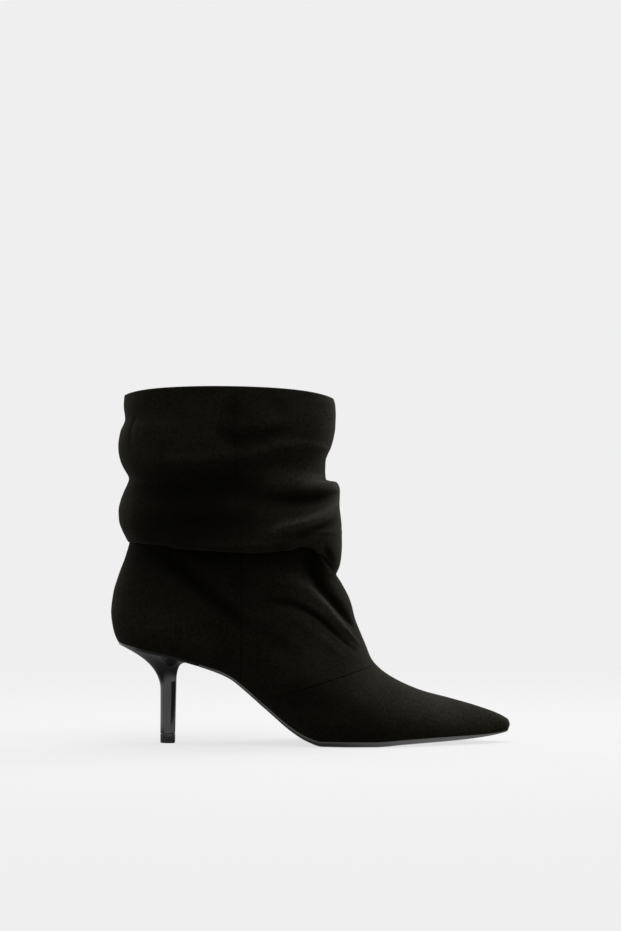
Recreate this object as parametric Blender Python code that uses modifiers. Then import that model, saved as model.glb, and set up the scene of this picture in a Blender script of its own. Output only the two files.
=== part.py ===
"""Slouch ankle boot for the right foot: hollow suede upper, insole, outsole, slim heel, top piece.

Lengths are in metres. X runs from heel to toe, Y towards the inner side of this right boot and
Z up. The origin is on the floor, under the middle of the heel's top piece.
"""
import math

import bmesh
import bpy
import numpy as np

# The last
SOLE_LENGTH = 0.2446          # sole edge, back of the seat to the toe
BALL_WIDTH = 0.0755           # sole edge across the ball
HEEL_HEIGHT = 0.0634          # floor to the back of the seat
INSTEP_HEIGHT = 0.1054        # floor to the lowest fold, at the front
COUNTER_HEIGHT = 0.0606       # seat to the lowest fold, at the back
TOE_SPRING = 0.0070           # floor to the underside of the toe
TOE_SWING = 0.0050            # how far the toe turns to the inner side

# The shaft
BOOT_HEIGHT = 0.2222          # floor to the top of the collar
LEG_LENGTH = 0.1328           # collar, front to back
LEG_WIDTH = 0.0820            # collar, side to side
LEG_MIDDLE = 0.0389           # middle of the collar, ahead of the top piece

# Thicknesses and clearance
WALL = 0.0016
SOLE_THICKNESS = 0.0032       # outsole at the ball
TOE_EDGE = 0.0007             # outsole at the toe
INSOLE_THICKNESS = 0.0015
FIT_GAP = 0.0003

# The heel
HEEL_INSET = 0.0309           # middle of the top piece, ahead of the back of the seat
TIP_LENGTH = 0.0092
TIP_WIDTH = 0.0090
TIP_HEIGHT = 0.0062
STEM_HEIGHT = 0.0330          # floor to where the stem begins to flare, at the back
STEM_FRONT_HEIGHT = 0.0380    # and at the front, below the breast
STEM_SWELL = 0.0008           # how much longer the stem is there than at the top piece
SEAT_RIM = 0.0004             # edge of the heel at the back of the seat
BREAST_RIM = 0.0017           # edge of the heel at the breast
BREAST_AT = 0.2100            # where the heel ends, as a share of SOLE_LENGTH
EDGE_SHARE = 0.50             # upright part of the outsole's edge, of its thickness
TURN_SHARE = 0.35             # how far the edge turns in below that

HALF_BALL = BALL_WIDTH / 2
MERGE_GAP = FIT_GAP / 100     # points closer than this are one point
FOLD_HEIGHT = HEEL_HEIGHT + COUNTER_HEIGHT
SEAT_BACK = -HEEL_INSET

# Half widths of the sole edge in half ball widths; swing in TOE_SWING; along in SOLE_LENGTH.
OUTLINE_COLUMNS = ("along", "outer", "inner", "swing")
OUTLINE = (
    (0.000, 0.000, 0.000, 0.00),
    (0.012, 0.278, 0.278, 0.00),
    (0.042, 0.464, 0.464, 0.00),
    (0.083, 0.570, 0.565, 0.00),
    (0.135, 0.623, 0.615, 0.00),
    (0.186, 0.630, 0.618, 0.00),
    (0.268, 0.599, 0.545, 0.00),
    (0.370, 0.604, 0.477, 0.00),
    (0.452, 0.720, 0.575, 0.03),
    (0.534, 0.882, 0.785, 0.09),
    (0.595, 0.970, 0.950, 0.17),
    (0.657, 0.975, 1.012, 0.27),
    (0.739, 0.842, 0.925, 0.44),
    (0.820, 0.615, 0.700, 0.62),
    (0.903, 0.360, 0.425, 0.80),
    (0.964, 0.175, 0.215, 0.93),
    (0.984, 0.138, 0.146, 0.97),
    (0.996, 0.087, 0.087, 0.99),
    (1.000, 0.000, 0.000, 1.00),
)

# Height of the sole edge: rise towards the seat, spring towards the toe, and the
# outsole's thickness, each as a share of its own full value.
SOLE_COLUMNS = ("along", "rise", "spring", "thick")
SOLE_LINE = (
    (0.000, 1.000, 0.000, 0.50),
    (0.060, 0.943, 0.000, 0.50),
    (0.140, 0.870, 0.000, 0.50),
    (0.210, 0.792, 0.000, 0.50),
    (0.260, 0.720, 0.000, 0.50),
    (0.290, 0.661, 0.000, 0.54),
    (0.320, 0.566, 0.000, 0.60),
    (0.380, 0.353, 0.000, 0.70),
    (0.440, 0.148, 0.000, 0.82),
    (0.480, 0.050, 0.000, 0.92),
    (0.520, 0.000, 0.000, 1.00),
    (0.652, 0.000, 0.000, 1.00),
    (0.740, 0.000, 0.233, 0.97),
    (0.820, 0.000, 0.378, 0.91),
    (0.902, 0.000, 0.489, 0.64),
    (0.944, 0.000, 0.578, 0.36),
    (1.000, 0.000, 1.000, 0.00),
)

# Sections of the foot from the toe back, fanned about the throat. Each leaves the sole edge
# at edge and meets the ridge of the vamp at ridge (shares of SOLE_LENGTH), rise above the
# sole edge there (in INSTEP_HEIGHT). outer and inner are its greatest half widths (in half
# ball widths), reached at the share belly of the way up; under and crown are the fullness of
# its arcs below and above that.
FOOT_COLUMNS = ("edge", "ridge", "rise", "outer", "inner", "belly", "under", "crown")
FOOT = (
    (1.0000, 1.0045, 0.030, 0.000, 0.000, 0.50, 0.75, 0.72),
    (0.9959, 1.0008, 0.060, 0.096, 0.096, 0.52, 0.75, 0.74),
    (0.9849, 0.9898, 0.084, 0.148, 0.156, 0.42, 0.75, 0.74),
    (0.9603, 0.9636, 0.123, 0.205, 0.244, 0.30, 0.75, 0.70),
    (0.9113, 0.9162, 0.168, 0.362, 0.424, 0.24, 0.75, 0.66),
    (0.8377, 0.8479, 0.218, 0.593, 0.668, 0.22, 0.75, 0.62),
    (0.7559, 0.7784, 0.266, 0.848, 0.920, 0.20, 0.75, 0.58),
    (0.6701, 0.7167, 0.333, 1.012, 1.049, 0.20, 0.75, 0.55),
    (0.5842, 0.6701, 0.411, 1.054, 1.046, 0.22, 0.75, 0.53),
    (0.4984, 0.6476, 0.473, 1.007, 0.967, 0.24, 0.75, 0.52),
    (0.4125, 0.6341, 0.549, 0.927, 0.874, 0.30, 0.75, 0.55),
    (0.3144, 0.6202, 0.627, 0.862, 0.818, 0.36, 0.76, 0.60),
    (BREAST_AT, 0.6063, 0.710, 0.831, 0.796, 0.40, 0.78, 0.64),
    (0.1427, 0.5973, 0.793, 0.822, 0.794, 0.42, 0.80, 0.66),
    (0.0854, 0.5891, 0.844, 0.822, 0.798, 0.43, 0.82, 0.68),
    (0.0405, 0.5814, 0.879, 0.824, 0.804, 0.43, 0.84, 0.69),
    (0.0119, 0.5756, 0.903, 0.827, 0.809, 0.43, 0.86, 0.70),
    (0.0000, 0.5703, 0.925, 0.829, 0.812, 0.43, 0.88, 0.71),
)

# Rings round the counter and ankle, up to the tuck under the lowest fold: rise and swell of
# the back line (in COUNTER_HEIGHT), climb from the last section of the foot to the tuck,
# the same at the front, and how far the front has begun to hang.
COUNTER_COLUMNS = ("rise", "swell", "climb", "front", "hang")
COUNTER = (
    (0.125, 0.053, 0.02, 0.20, 0.00),
    (0.307, 0.087, 0.10, 0.42, 0.13),
    (0.488, 0.089, 0.30, 0.62, 0.34),
    (0.670, 0.068, 0.60, 0.78, 0.57),
    (0.851, 0.029, 0.85, 0.90, 0.80),
)

# Rings of the slouching shaft. back_x and front_x are in half LEG_LENGTHs from the middle,
# side_y in half LEG_WIDTHs. Heights run from the lowest fold, 0, to the collar, 1; hang is
# how far the front hangs below the ring, as a share of the step between back and front.
LEG_COLUMNS = ("back_x", "back_z", "side_y", "side_z", "front_x", "front_z", "hang")
LEG = (
    (-0.947, -0.002, 0.898, -0.014, 1.005, -0.002, 1.15),   # tuck
    (-0.953, 0.003, 0.950, -0.049, 1.009, 0.009, 1.15),
    (-0.965, 0.013, 1.005, -0.059, 1.018, 0.019, 1.13),     # bottom of the big roll
    (-0.986, 0.041, 1.043, -0.041, 1.032, 0.038, 1.03),
    (-1.017, 0.085, 1.068, 0.010, 1.048, 0.078, 0.80),
    (-1.044, 0.148, 1.078, 0.082, 1.059, 0.159, 0.52),
    (-1.048, 0.214, 1.072, 0.165, 1.053, 0.262, 0.26),
    (-1.032, 0.275, 1.056, 0.250, 1.035, 0.373, 0.11),
    (-1.008, 0.325, 1.036, 0.325, 1.039, 0.450, 0.00),
    (-0.990, 0.355, 1.016, 0.375, 1.003, 0.496, 0.00),      # shelf at the front
    (-0.976, 0.377, 1.000, 0.412, 0.914, 0.506, 0.00),
    (-0.962, 0.402, 0.984, 0.455, 0.902, 0.553, 0.00),
    (-0.953, 0.426, 0.970, 0.503, 0.906, 0.610, 0.00),      # crease under the upper bulge
    (-0.984, 0.462, 1.003, 0.516, 0.922, 0.640, 0.00),
    (-1.030, 0.520, 1.043, 0.556, 0.955, 0.680, 0.00),
    (-1.056, 0.610, 1.062, 0.640, 0.985, 0.735, 0.00),
    (-1.035, 0.718, 1.048, 0.742, 1.001, 0.790, 0.00),
    (-0.989, 0.804, 1.022, 0.820, 1.003, 0.850, 0.00),
    (-1.000, 0.886, 1.004, 0.902, 0.995, 0.910, 0.00),
    (-0.992, 0.963, 1.000, 0.994, 0.972, 0.954, 0.00),      # collar
)

LEG_FULLNESS = 0.82           # arcs round the back and the front of a leg ring
LEG_BELLY = 0.50
HANG_SHARE = 0.24             # how far round from the front a ring hangs, of half a ring
HALF_COLUMNS = 18             # faces in half a section
ARC_POINTS = 40
FOOT_STEPS = 2                # rows made between two sections of the foot
HEEL_STEPS = 9                # rings down the flare of the heel
HEEL_PULL = 0.45              # how far the flare runs straight at the seat
BACK_BEND_SHARE = 0.765       # where the back of the heel turns down, in HEEL_HEIGHTs
BREAST_BEND_SHARE = 0.860     # where the breast turns down
BREAST_POINTS = 6             # faces across the breast
D_TURN = math.radians(125)    # turn of the round part of the stem's D section
SMOOTH_ANGLE = math.radians(40)

SUEDE_BLACK = (0.0055, 0.0050, 0.0038, 1.0)
LINING_BROWN = (0.022, 0.017, 0.013, 1.0)
GLOSS_BLACK = (0.0050, 0.0050, 0.0048, 1.0)
SOLE_BLACK = (0.0080, 0.0078, 0.0074, 1.0)
RUBBER_BLACK = (0.0100, 0.0100, 0.0095, 1.0)


def end_slope(step, slope):
    """Slope at the first point of a curve, from its first two stretches."""
    found = ((2 * step[0] + step[1]) * slope[0] - step[0] * slope[1]) / (step[0] + step[1])
    return found if found * slope[0] > 0 else 0.0


def level_curve(at, values, where):
    """Read, at where, the smooth curve through the points that never overshoots them."""
    step = np.diff(at)
    slope = np.diff(values) / step
    tangent = np.zeros(len(at))
    for i in range(1, len(at) - 1):
        if slope[i - 1] * slope[i] > 0:
            before = 2 * step[i] + step[i - 1]
            after = step[i] + 2 * step[i - 1]
            tangent[i] = (before + after) / (before / slope[i - 1] + after / slope[i])
    tangent[0] = end_slope(step, slope)
    tangent[-1] = end_slope(step[::-1], slope[::-1])
    where = np.clip(where, at[0], at[-1])
    k = np.clip(np.searchsorted(at, where, side="right") - 1, 0, len(step) - 1)
    t = (where - at[k]) / step[k]
    start = (1 + 2 * t) * (1 - t) ** 2 * values[k] + t * (1 - t) ** 2 * step[k] * tangent[k]
    end = t * t * (3 - 2 * t) * values[k + 1] - t * t * (1 - t) * step[k] * tangent[k + 1]
    return start + end


def columns(names, rows):
    """A table as one array for each named column."""
    return dict(zip(names, np.array(rows, dtype=float).T))


def refined(table, steps):
    """The same columns, read at even steps between the rows."""
    count = len(next(iter(table.values())))
    at = np.arange(count, dtype=float)
    where = np.linspace(0, count - 1, steps * (count - 1) + 1)
    return {name: level_curve(at, values, where) for name, values in table.items()}


def records(table):
    """Columns as a list of rows, each a dictionary."""
    return [dict(zip(table, values)) for values in zip(*table.values())]


def place(share):
    """X of a point given as a share of SOLE_LENGTH."""
    return SEAT_BACK + share * SOLE_LENGTH


def share_at(x):
    return (x - SEAT_BACK) / SOLE_LENGTH


def sole_value(name, x):
    table = columns(SOLE_COLUMNS, SOLE_LINE)
    return level_curve(table["along"], table[name], share_at(x))


def edge_height(x):
    """Height of the sole edge, where upper, sole and heel meet."""
    seat = sole_value("rise", x) * (HEEL_HEIGHT - SOLE_THICKNESS)
    toe = sole_value("spring", x) * (TOE_SPRING + TOE_EDGE - SOLE_THICKNESS)
    return SOLE_THICKNESS + seat + toe


def sole_depth(x):
    """Thickness of the outsole."""
    return TOE_EDGE + sole_value("thick", x) * (SOLE_THICKNESS - TOE_EDGE)


def turn(share):
    """Angle that runs evenly round an outline with round ends."""
    return np.arccos(1 - 2 * np.clip(share, 0, 1))


def outline_value(name, x):
    table = columns(OUTLINE_COLUMNS, OUTLINE)
    return level_curve(turn(table["along"]), table[name], turn(share_at(x)))


def centre(x):
    """Y of the middle line, which swings to the inner side towards the toe."""
    return TOE_SWING * outline_value("swing", x)


def edge_half(x, side):
    """Half width of the sole edge on the outer side, -1, or the inner side, +1."""
    return HALF_BALL * outline_value("outer" if side < 0 else "inner", x)


def edge_point(x, side, inset):
    """Plan point of the sole edge at x, moved in square to the edge."""
    ends = np.clip(np.array([x - FIT_GAP, x + FIT_GAP]), place(0), place(1))
    along = np.array([ends[1] - ends[0], *np.diff(centre(ends) + side * edge_half(ends, side))])
    if x <= place(0) or x >= place(1):
        along = np.array([0.0, 1.0 if x >= place(1) else -1.0]) * side
    inward = np.array([along[1], -along[0]]) * side / np.hypot(*along)
    if x <= place(0) or x >= place(1):
        inward = np.array([1.0 if x <= place(0) else -1.0, 0.0])
    at = np.array([x, centre(x) + side * edge_half(x, side)])
    return at + inset * inward


def conic(start, corner, end, fullness):
    """Points of the arc from start to end that leans towards corner."""
    t = np.linspace(0, 1, ARC_POINTS)[:, None]
    weights = np.hstack([(1 - t) ** 2, 2 * fullness * t * (1 - t), t ** 2])
    return weights @ np.array([start, corner, end]) / weights.sum(axis=1, keepdims=True)


def spread(points, count):
    """The same line with count points at even distances."""
    run = np.concatenate([[0], np.cumsum(np.hypot(*np.diff(points, axis=0).T))])
    where = np.linspace(0, run[-1], count)
    return np.column_stack([np.interp(where, run, values) for values in points.T])


def half_row(row, side):
    """Half a section, from the sole edge or back line over to the ridge or front."""
    edge, wide = (row["edge_outer"], row["outer"]) if side < 0 else (row["edge_inner"], row["inner"])
    (back_x, back_z), (front_x, front_z) = row["back"], row["front"]
    reach = math.hypot(front_x - back_x, front_z + row["hang"] - back_z)
    belly = row["belly"] * reach
    corner = belly * edge / (2 * max(wide, WALL))
    lower = conic((edge, 0), (wide, corner), (wide, belly), row["under"])
    upper = conic((wide, belly), (wide, reach), (0, reach), row["crown"])
    half, up = spread(np.vstack([lower, upper[1:]]), HALF_COLUMNS + 1).T
    share = up / reach
    x = back_x + share * (front_x - back_x)
    z = back_z + share * (front_z + row["hang"] - back_z)
    z += row["lift"] * (half / max(wide, WALL)) ** 2
    from_front = np.linspace(1, 0, HALF_COLUMNS + 1)
    z -= row["hang"] * np.cos(math.pi / 2 * np.minimum(from_front / HANG_SHARE, 1)) ** 2
    middle = centre(back_x) + share * (centre(front_x) - centre(back_x))
    return np.column_stack([x, middle + side * half, z])


def foot_table():
    """The sections of the foot with more between them, spaced evenly round both ends."""
    table = columns(FOOT_COLUMNS, FOOT)
    table["edge"] = turn(table["edge"])
    table = refined(table, FOOT_STEPS)
    table["edge"] = (1 - np.cos(table["edge"])) / 2
    return table


def foot_sections():
    """Open sections, from the toe to the back of the seat."""
    rows = []
    for foot in records(foot_table()):
        x, ridge = place(foot["edge"]), place(foot["ridge"])
        rows.append({
            "back": (x, edge_height(x)),
            "front": (ridge, edge_height(ridge) + foot["rise"] * INSTEP_HEIGHT),
            "edge_outer": edge_half(x, -1), "edge_inner": edge_half(x, 1),
            "outer": foot["outer"] * HALF_BALL, "inner": foot["inner"] * HALF_BALL,
            "belly": foot["belly"], "under": foot["under"], "crown": foot["crown"],
            "lift": 0.0, "hang": 0.0})
    return rows


def leg_rings():
    """Closed rings of the shaft, from the tuck under the lowest fold to the collar."""
    rows = []
    for leg in records(columns(LEG_COLUMNS, LEG)):
        back_z = FOLD_HEIGHT + leg["back_z"] * (BOOT_HEIGHT - FOLD_HEIGHT)
        side_z = FOLD_HEIGHT + leg["side_z"] * (BOOT_HEIGHT - FOLD_HEIGHT)
        front_z = INSTEP_HEIGHT + leg["front_z"] * (BOOT_HEIGHT - INSTEP_HEIGHT)
        hang = leg["hang"] * (FOLD_HEIGHT - INSTEP_HEIGHT)
        level = back_z + LEG_BELLY * (front_z + hang - back_z)
        wide = leg["side_y"] * LEG_WIDTH / 2
        rows.append({
            "back": (LEG_MIDDLE + leg["back_x"] * LEG_LENGTH / 2, back_z),
            "front": (LEG_MIDDLE + leg["front_x"] * LEG_LENGTH / 2, front_z),
            "edge_outer": 0.0, "edge_inner": 0.0, "outer": wide, "inner": wide,
            "belly": LEG_BELLY, "under": LEG_FULLNESS, "crown": LEG_FULLNESS,
            "lift": side_z - level, "hang": hang})
    return rows


def blend(low, high, share):
    return low + share * (high - low)


def counter_rings(seat, tuck):
    """Closed rings between the last section of the foot and the tuck."""
    rows = []
    for ring in records(columns(COUNTER_COLUMNS, COUNTER)):
        climb, front = ring["climb"], ring["front"]
        back_x = blend(seat["back"][0], tuck["back"][0], climb) - ring["swell"] * COUNTER_HEIGHT
        front_x = blend(seat["front"][0], tuck["front"][0], front)
        front_z = blend(seat["front"][1], tuck["front"][1], front)
        row = {name: blend(seat[name], tuck[name], climb)
               for name in ("outer", "inner", "belly", "under", "crown", "lift")}
        row.update(back=(back_x, HEEL_HEIGHT + ring["rise"] * COUNTER_HEIGHT),
                   front=(front_x, front_z), hang=ring["hang"] * tuck["hang"],
                   edge_outer=0.0, edge_inner=0.0)
        rows.append(row)
    return rows


def upper_rows():
    """All sections of the upper, each a line of points from the outer to the inner side."""
    foot = foot_sections()
    leg = leg_rings()
    rows = foot + counter_rings(foot[-1], leg[0]) + leg
    return [np.vstack([half_row(row, -1), half_row(row, 1)[-2::-1]]) for row in rows]


def stations(first, last):
    """X of each section of the foot between two shares of the sole, from the heel on."""
    slack = FIT_GAP / SOLE_LENGTH
    return [place(share) for share in foot_table()["edge"][::-1]
            if first - slack <= share <= last + slack]


def loft(mesh, rings, closed):
    """Quads between successive rings of points; returns the rings' vertices."""
    made = [[mesh.verts.new(point) for point in ring] for ring in rings]
    for ring, following in zip(made, made[1:]):
        count = len(ring) if closed else len(ring) - 1
        for j in range(count):
            k = (j + 1) % len(ring)
            mesh.faces.new((ring[j], ring[k], following[k], following[j]))
    return made


def new_material(name, colour, roughness):
    material = bpy.data.materials.new(name)
    material.use_nodes = True
    shader = material.node_tree.nodes["Principled BSDF"]
    shader.inputs["Base Color"].default_value = colour
    shader.inputs["Roughness"].default_value = roughness
    shader.inputs["Metallic"].default_value = 0.0
    return material


def new_object(name, mesh, material, group, root):
    """Turn the built mesh into one smooth-shaded object of the boot."""
    bmesh.ops.remove_doubles(mesh, verts=mesh.verts, dist=MERGE_GAP)
    bmesh.ops.dissolve_degenerate(mesh, edges=mesh.edges, dist=MERGE_GAP)
    data = bpy.data.meshes.new(name)
    mesh.to_mesh(data)
    mesh.free()
    data.shade_smooth()
    data.set_sharp_from_angle(angle=SMOOTH_ANGLE)
    data.materials.append(material)
    made = bpy.data.objects.new(name, data)
    made.parent = root
    group.objects.link(made)
    return made


def make_upper(group, root):
    """One wall from the toe to the collar, open underneath and at the top."""
    mesh = bmesh.new()
    loft(mesh, upper_rows(), closed=False)
    made = new_object("upper", mesh, new_material("black_suede", SUEDE_BLACK, 0.95), group, root)
    shell = made.modifiers.new("wall", "SOLIDIFY")
    shell.thickness = WALL
    shell.offset = -1.0
    return made


def sole_slab(name, material, xs, levels, group, root):
    """A slab across the sole: levels gives inset, height and share of depth down its side."""
    mesh = bmesh.new()
    rings = []
    for x in xs:
        outer, inner = [], []
        for inset, drop in levels:
            for side, points in ((-1, outer), (1, inner)):
                px, py = edge_point(x, side, inset)
                points.append((px, py, edge_height(px) + drop(px)))
        rings.append(outer + inner[::-1])
    made = loft(mesh, rings, closed=True)
    for ring, flip in ((made[0], False), (made[-1], True)):
        mesh.faces.new(ring[::-1] if flip else ring)
    bmesh.ops.recalc_face_normals(mesh, faces=mesh.faces)
    return new_object(name, mesh, material, group, root)


def make_insole(group, root):
    """Thin board inside the upper, over outsole and heel."""
    inset = WALL + 2 * FIT_GAP
    levels = ((inset, lambda x: INSOLE_THICKNESS), (inset, lambda x: 0.0))
    material = new_material("sock_lining", LINING_BROWN, 0.7)
    return sole_slab("insole", material, stations(0, 1), levels, group, root)


def make_outsole(group, root):
    """Sole from the heel breast to the toe, flat on the floor under the ball."""
    levels = ((0.0, lambda x: -FIT_GAP),
              (0.0, lambda x: -blend(FIT_GAP, sole_depth(x), EDGE_SHARE)),
              (TURN_SHARE * SOLE_THICKNESS, lambda x: -sole_depth(x)))
    material = new_material("sole_black", SOLE_BLACK, 0.35)
    xs = [place(BREAST_AT) + FIT_GAP] + stations(BREAST_AT, 1)[1:]
    return sole_slab("outsole", material, xs, levels, group, root)


def d_section(length, width, count):
    """Points round the back and sides of a D, its flat side to the front."""
    angle = np.linspace(-D_TURN, D_TURN, count)
    depth = length / (1 - math.cos(D_TURN))
    middle = length / 2 - depth
    return np.column_stack([-depth * np.cos(angle) - middle, width / 2 * np.sin(angle)])


def make_heel(group, root):
    """Flared seat cup drawn down into a slim stem."""
    xs = stations(0, BREAST_AT)
    outer = [edge_point(x, -1, 0) for x in reversed(xs)]
    inner = [edge_point(x, 1, 0) for x in xs[1:]]
    seat = np.array(outer + inner)
    across = np.linspace(0, 1, BREAST_POINTS + 1)[1:-1, None]
    seat = np.vstack([seat, seat[-1] + across * (seat[0] - seat[-1])])
    round_count = len(outer) + len(inner)

    def stem(length):
        d = d_section(length, TIP_WIDTH, round_count)
        return np.vstack([d, d[-1] + across * (d[0] - d[-1])])

    forward = (seat[:, 0] - SEAT_BACK) / (place(BREAST_AT) - SEAT_BACK)
    height = np.array([edge_height(x) for x in seat[:, 0]])
    top = np.column_stack([seat, height - FIT_GAP])
    rim = np.column_stack([seat, top[:, 2] - blend(SEAT_RIM, BREAST_RIM, forward)])
    stem_top = stem(TIP_LENGTH + STEM_SWELL) + np.array([STEM_SWELL / 2, 0])
    end = np.column_stack([stem_top, blend(STEM_HEIGHT, STEM_FRONT_HEIGHT, forward)])
    bend = np.column_stack([stem_top, blend(BACK_BEND_SHARE, BREAST_BEND_SHARE, forward) * HEEL_HEIGHT])
    pull = rim + HEEL_PULL * (bend - rim)
    pull[:, 1] = rim[:, 1]
    rings = [top]
    for t in np.linspace(0, 1, HEEL_STEPS + 1):
        rings.append((1 - t) ** 3 * rim + 3 * t * (1 - t) ** 2 * pull
                     + 3 * t * t * (1 - t) * bend + t ** 3 * end)
    foot = np.column_stack([stem(TIP_LENGTH), np.full(len(seat), TIP_HEIGHT + FIT_GAP)])
    rings.append(foot)

    mesh = bmesh.new()
    made = loft(mesh, rings, closed=True)
    mesh.faces.new(made[-1])
    lid = made[0]
    last = round_count - 1
    mesh.faces.new([lid[0], lid[1], lid[last - 1]] + lid[last:])
    for i in range(1, last // 2):
        mesh.faces.new((lid[i], lid[i + 1], lid[last - i - 1], lid[last - i])
                       if i + 1 < last - i - 1 else (lid[i], lid[i + 1], lid[last - i]))
    bmesh.ops.recalc_face_normals(mesh, faces=mesh.faces)
    return new_object("heel", mesh, new_material("gloss_black", GLOSS_BLACK, 0.12), group, root)


def make_heel_tip(group, root):
    """Wear piece under the stem."""
    outline = d_section(TIP_LENGTH, TIP_WIDTH, 2 * HEEL_STEPS)
    rings = [np.column_stack([outline, np.full(len(outline), z)]) for z in (0.0, TIP_HEIGHT)]
    mesh = bmesh.new()
    bottom, top = loft(mesh, rings, closed=True)
    mesh.faces.new(bottom)
    mesh.faces.new(top)
    bmesh.ops.recalc_face_normals(mesh, faces=mesh.faces)
    return new_object("heel_tip", mesh, new_material("top_piece", RUBBER_BLACK, 0.5), group, root)


def build():
    for old in list(bpy.data.objects):
        bpy.data.objects.remove(old, do_unlink=True)
    group = bpy.data.collections.new("slouch_boot")
    bpy.context.scene.collection.children.link(group)
    root = bpy.data.objects.new("boot", None)
    group.objects.link(root)
    for make in (make_upper, make_insole, make_outsole, make_heel, make_heel_tip):
        make(group, root)


build()
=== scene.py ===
"""Studio picture of a slouch ankle boot for the right foot, dressed over its CAD model.

Metres. X runs from heel to toe, Y towards the inner side of this right boot and Z up. The
origin is on the floor, under the middle of the heel's top piece.
"""
import math

import bmesh
import bpy
import numpy as np
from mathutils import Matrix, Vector, noise
from mathutils.bvhtree import BVHTree


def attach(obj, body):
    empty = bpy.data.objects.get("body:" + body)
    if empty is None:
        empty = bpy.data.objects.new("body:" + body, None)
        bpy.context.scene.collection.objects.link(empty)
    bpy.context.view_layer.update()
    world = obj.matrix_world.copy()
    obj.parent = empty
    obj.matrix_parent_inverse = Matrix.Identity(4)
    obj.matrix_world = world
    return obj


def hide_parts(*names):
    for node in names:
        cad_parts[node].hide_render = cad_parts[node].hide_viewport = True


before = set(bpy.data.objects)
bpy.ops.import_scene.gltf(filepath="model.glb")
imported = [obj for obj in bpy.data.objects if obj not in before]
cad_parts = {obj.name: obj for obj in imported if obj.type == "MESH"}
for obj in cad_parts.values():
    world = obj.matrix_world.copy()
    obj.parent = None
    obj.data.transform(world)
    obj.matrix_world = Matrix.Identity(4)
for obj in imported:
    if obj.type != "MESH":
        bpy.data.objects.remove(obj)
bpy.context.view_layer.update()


# Upper: black suede, one skin drawn over the last and let down in slouching folds round the
# shaft. Its sections follow the sizes of the last, and sole, insole and heel share its edge.
MM = 0.001
SOLE_LENGTH = 0.2446
BALL_WIDTH = 0.0755
HEEL_HEIGHT = 0.0634
INSTEP_HEIGHT = 0.1054
COUNTER_HEIGHT = 0.0606
TOE_SPRING = 0.0070
TOE_SWING = 0.0050
BOOT_HEIGHT = 0.2222
LEG_LENGTH = 0.1328
LEG_WIDTH = 0.0820
LEG_MIDDLE = 0.0389
WALL = 0.0016
SOLE_THICKNESS = 0.0032
TOE_EDGE = 0.0007
HEEL_INSET = 0.0309
HALF_BALL = BALL_WIDTH / 2
FOLD_HEIGHT = HEEL_HEIGHT + COUNTER_HEIGHT

# Half widths of the sole edge in half ball widths; swing in TOE_SWING; along in SOLE_LENGTH.
OUTLINE_COLUMNS = ("along", "outer", "inner", "swing")
OUTLINE = (
    (0.000, 0.000, 0.000, 0.00), (0.012, 0.278, 0.278, 0.00), (0.042, 0.464, 0.464, 0.00),
    (0.083, 0.570, 0.565, 0.00), (0.135, 0.623, 0.615, 0.00), (0.186, 0.630, 0.618, 0.00),
    (0.268, 0.599, 0.545, 0.00), (0.370, 0.604, 0.477, 0.00), (0.452, 0.720, 0.575, 0.03),
    (0.534, 0.882, 0.785, 0.09), (0.595, 0.970, 0.950, 0.17), (0.657, 0.975, 1.012, 0.27),
    (0.739, 0.842, 0.925, 0.44), (0.820, 0.615, 0.700, 0.62), (0.903, 0.360, 0.425, 0.80),
    (0.964, 0.175, 0.215, 0.93), (0.984, 0.138, 0.146, 0.97), (0.996, 0.087, 0.087, 0.99),
    (1.000, 0.000, 0.000, 1.00),
)

# Height of the sole edge: rise towards the seat, spring towards the toe, and thickness.
SOLE_COLUMNS = ("along", "rise", "spring", "thick")
SOLE_LINE = (
    (0.000, 1.000, 0.000, 0.50), (0.060, 0.943, 0.000, 0.50), (0.140, 0.870, 0.000, 0.50),
    (0.210, 0.792, 0.000, 0.50), (0.260, 0.720, 0.000, 0.50), (0.290, 0.661, 0.000, 0.54),
    (0.320, 0.566, 0.000, 0.60), (0.380, 0.353, 0.000, 0.70), (0.440, 0.148, 0.000, 0.82),
    (0.480, 0.050, 0.000, 0.92), (0.520, 0.000, 0.000, 1.00), (0.652, 0.000, 0.000, 1.00),
    (0.740, 0.000, 0.233, 0.97), (0.820, 0.000, 0.378, 0.91), (0.902, 0.000, 0.489, 0.64),
    (0.944, 0.000, 0.578, 0.36), (1.000, 0.000, 1.000, 0.00),
)

# Sections of the foot from the toe back, fanned about the throat.
FOOT_COLUMNS = ("edge", "ridge", "rise", "outer", "inner", "belly", "under", "crown")
FOOT = (
    (1.0000, 1.0045, .030, 0.000, 0.000, .50, .75, .72),
    (0.9959, 1.0008, .060, 0.096, 0.096, .52, .75, .74),
    (0.9849, 0.9898, .084, 0.148, 0.156, .42, .75, .74),
    (0.9603, 0.9636, .123, 0.205, 0.244, .30, .75, .70),
    (0.9113, 0.9162, .168, 0.362, 0.424, .24, .75, .66),
    (0.8377, 0.8479, .218, 0.593, 0.668, .22, .75, .62),
    (0.7559, 0.7784, .266, 0.848, 0.920, .20, .75, .58),
    (0.6701, 0.7167, .333, 1.012, 1.049, .20, .75, .55),
    (0.5842, 0.6701, .411, 1.054, 1.046, .22, .75, .53),
    (0.4984, 0.6476, .473, 1.007, 0.967, .24, .75, .52),
    (0.4125, 0.6341, .549, 0.927, 0.874, .30, .75, .55),
    (0.3144, 0.6202, .627, 0.862, 0.818, .36, .76, .60),
    (0.2100, 0.6063, .710, 0.831, 0.796, .40, .78, .64),
    (0.1427, 0.5973, .793, 0.822, 0.794, .42, .80, .66),
    (0.0854, 0.5891, .844, 0.822, 0.798, .43, .82, .68),
    (0.0405, 0.5814, .879, 0.824, 0.804, .43, .84, .69),
    (0.0119, 0.5756, .903, 0.827, 0.809, .43, .86, .70),
    (0.0000, 0.5703, .925, 0.829, 0.812, .43, .88, .71),
)

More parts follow.
